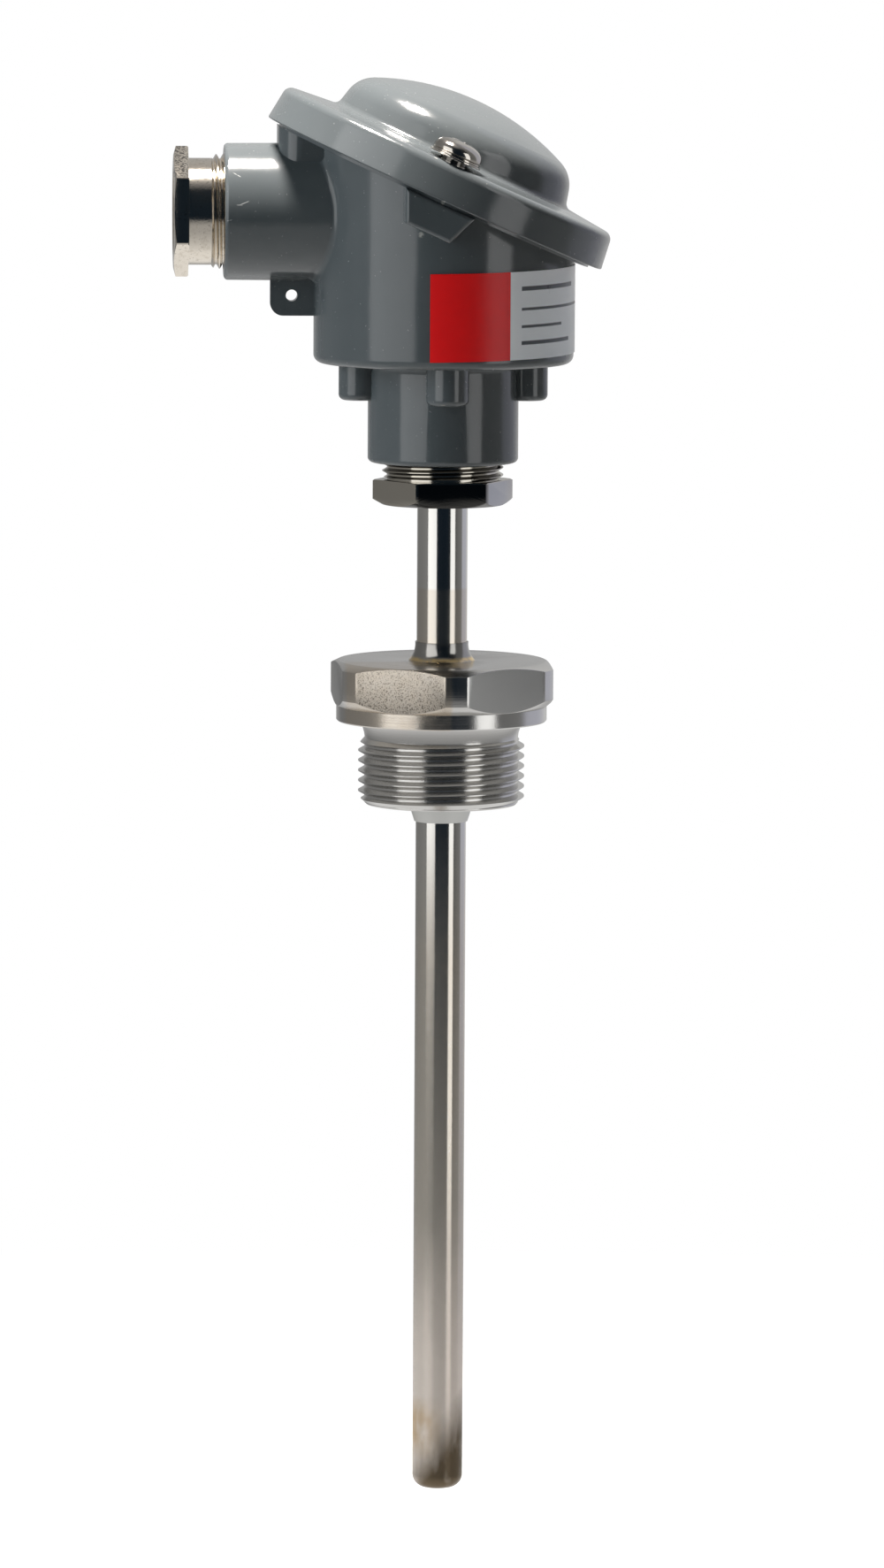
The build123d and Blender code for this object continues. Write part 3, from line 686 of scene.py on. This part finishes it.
def studioRamp(g, x, y):
    # what shiny faces find round the sensor, by azimuth: dark at the front, pale behind, palest to the right
    turn = x.maths("ARCTAN2", x, 0 - y) / (2 * pi) + 0.5
    dark, pale = (0.008, 0.014, 0.022), (0.57, 0.58, 0.66)
    return g.add("ValToRGB", {"stops": [(0.0, 0.42), (0.04, 0.40), (0.09, 0.22), (0.22, 0.25), (0.28, 0.28),
                                        (0.43, dark), (0.56, dark), (0.66, 0.04), (0.69, 0.18), (0.765, 0.24),
                                        (0.79, pale), (0.86, pale), (0.93, 0.72), (0.97, 0.55), (1.0, 0.42)]}, {0: turn})


def addFloor():
    # a pale floor, white to the camera far out; shiny faces find it bright under the sensor and behind it
    look = {"level": -0.26, "size": 12.0, "fadeFrom": 0.25, "fadeTo": 0.9, "bounce": 0.30}
    deselect()
    bpy.ops.mesh.primitive_plane_add(size=look["size"], location=(0, 0, look["level"]))
    floor = bpy.context.object
    floor.name = "studioFloor"
    made = bpy.data.materials.new("paleFloor")
    made.use_nodes = True
    g = Wire(made.node_tree)
    out = made.node_tree.nodes["Material Output"]
    made.node_tree.nodes.remove(made.node_tree.nodes["Principled BSDF"])
    x, y, z = place(g)
    far = (x * x + y * y).maths("SQRT", x * x + y * y) * mm
    fade = far.above((look["fadeFrom"] + look["fadeTo"]) / 2, (look["fadeTo"] - look["fadeFrom"]) / 2)
    camera, diffuse, glossy = (g.add("LightPath", out=i) for i in (0, 2, 3))
    level = blend(g, diffuse, (0.86, 0.86, 0.86), (look["bounce"],) * 3)
    pale = g.add("BsdfDiffuse", inputs={0: level})
    behind = y - 200
    spread = x * x + behind * behind
    near = 1 - (spread.maths("SQRT", spread) * mm).above(0.43, 0.28)
    grey = blend(g, 1 - far.above(1.06, 0.42), studioRamp(g, x, y), (0.42, 0.42, 0.42))
    mirrored = blend(g, near * near, grey, (0.95, 0.95, 0.95))
    white = g.add("Emission", inputs={0: (1, 1, 1, 1), 1: 1.0})
    dark = g.add("Emission", inputs={0: mirrored, 1: 1.0})
    mixed = g.add("MixShader", inputs={0: fade * camera, 1: pale, 2: white})
    mixed = g.add("MixShader", inputs={0: glossy, 1: mixed, 2: dark})
    clear = g.add("BsdfTransparent")
    fromBelow = g.add("NewGeometry", out=6) * camera
    mixed = g.add("MixShader", inputs={0: fromBelow, 1: mixed, 2: clear})
    made.node_tree.links.new(mixed.socket, out.inputs[0])
    floor.data.materials.append(made)


def addLamp(name, azimuth, elevation, distance, width, height, glow, aim, tint=(1, 1, 1), lights=True):
    # a soft box round the sensor, azimuth 0 at the front; glow is its brightness, where 1 is white
    away = Vector((sin(radians(azimuth)) * cos(radians(elevation)),
                   -cos(radians(azimuth)) * cos(radians(elevation)), sin(radians(elevation))))
    deselect()
    bpy.ops.object.light_add(type="AREA", location=Vector(aim) + away * distance)
    lamp = bpy.context.object
    lamp.name = name
    lamp.data.shape = "RECTANGLE"
    lamp.data.size, lamp.data.size_y = width, height
    lamp.data.energy = glow * pi * width * height
    lamp.data.color = tint
    lamp.rotation_euler = (-away).to_track_quat("-Z", "Y").to_euler()
    lamp.visible_diffuse = lights
    return lamp


def addWorld():
    # white to the camera, a bluish fill for the light, and the studio's ramp for reflections
    world = bpy.data.worlds.new("studioWorld")
    bpy.context.scene.world = world
    world.use_nodes = True
    out = world.node_tree.nodes["World Output"]
    world.node_tree.nodes.remove(world.node_tree.nodes["Background"])
    g = Wire(world.node_tree)
    way = g.add("TexCoord", out=0)
    x, y, z = (g.add("SeparateXYZ", inputs={0: way}, out=i) for i in range(3))
    glow = blend(g, z.above(0.86, 0.10), studioRamp(g, x, y), (0.28, 0.28, 0.29))
    seen = g.add("LightPath", out=0)
    glossy = g.add("LightPath", out=3)
    fill = g.add("Background", inputs={0: (0.70, 0.90, 1.0, 1), 1: 0.12})
    mirror = g.add("Background", inputs={0: glow, 1: 1.0})
    white = g.add("Background", inputs={0: (1, 1, 1, 1), 1: 1.0})
    light = g.add("MixShader", inputs={0: glossy, 1: fill, 2: mirror})
    seenAll = g.add("MixShader", inputs={0: seen, 1: light, 2: white})
    world.node_tree.links.new(seenAll.socket, out.inputs[0])


def addCamera():
    look = {"height": 0.184, "distance": 1.70, "azimuth": -3.0, "lens": 197.8, "roll": 0.32,
            "aim": (0.0002, 0, -0.0128)}
    spot = Vector((sin(radians(look["azimuth"])) * look["distance"],
                   -cos(radians(look["azimuth"])) * look["distance"], look["height"]))
    bpy.ops.object.select_all(action="DESELECT")
    bpy.ops.object.camera_add(location=spot)
    camera = bpy.context.object
    camera.name = "photoCamera"
    turn = (Vector(look["aim"]) - spot).to_track_quat("-Z", "Y").to_matrix().to_4x4()
    camera.matrix_world = Matrix.Translation(spot) @ turn @ Matrix.Rotation(radians(look["roll"]), 4, "Z")
    camera.data.lens = look["lens"]
    camera.data.sensor_width = 36
    camera.data.clip_end = 50
    bpy.context.scene.camera = camera


addFloor()
addWorld()
addLamp("softBoxLeft", -49.5, 16, 1.1, 0.92, 1.15, 1.45, (0, 0, 0.05), lights=False)
addLamp("softBoxRight", 46.5, 7, 0.75, 0.305, 0.66, 1.45, (0, 0, 0), lights=False)
addLamp("overheadLamp", -95, 82.2, 0.9, 0.25, 0.20, 310, (0, 0, 0.1), (1.0, 0.935, 0.87))
fill = addLamp("fillLeft", -75, 12, 1.2, 0.8, 0.8, 5.5, (0, 0, 0.05), (0.85, 0.95, 1.0))
fill.visible_glossy = False
addCamera()
bpy.context.scene.view_settings.view_transform = "Standard"
print("studio set up")
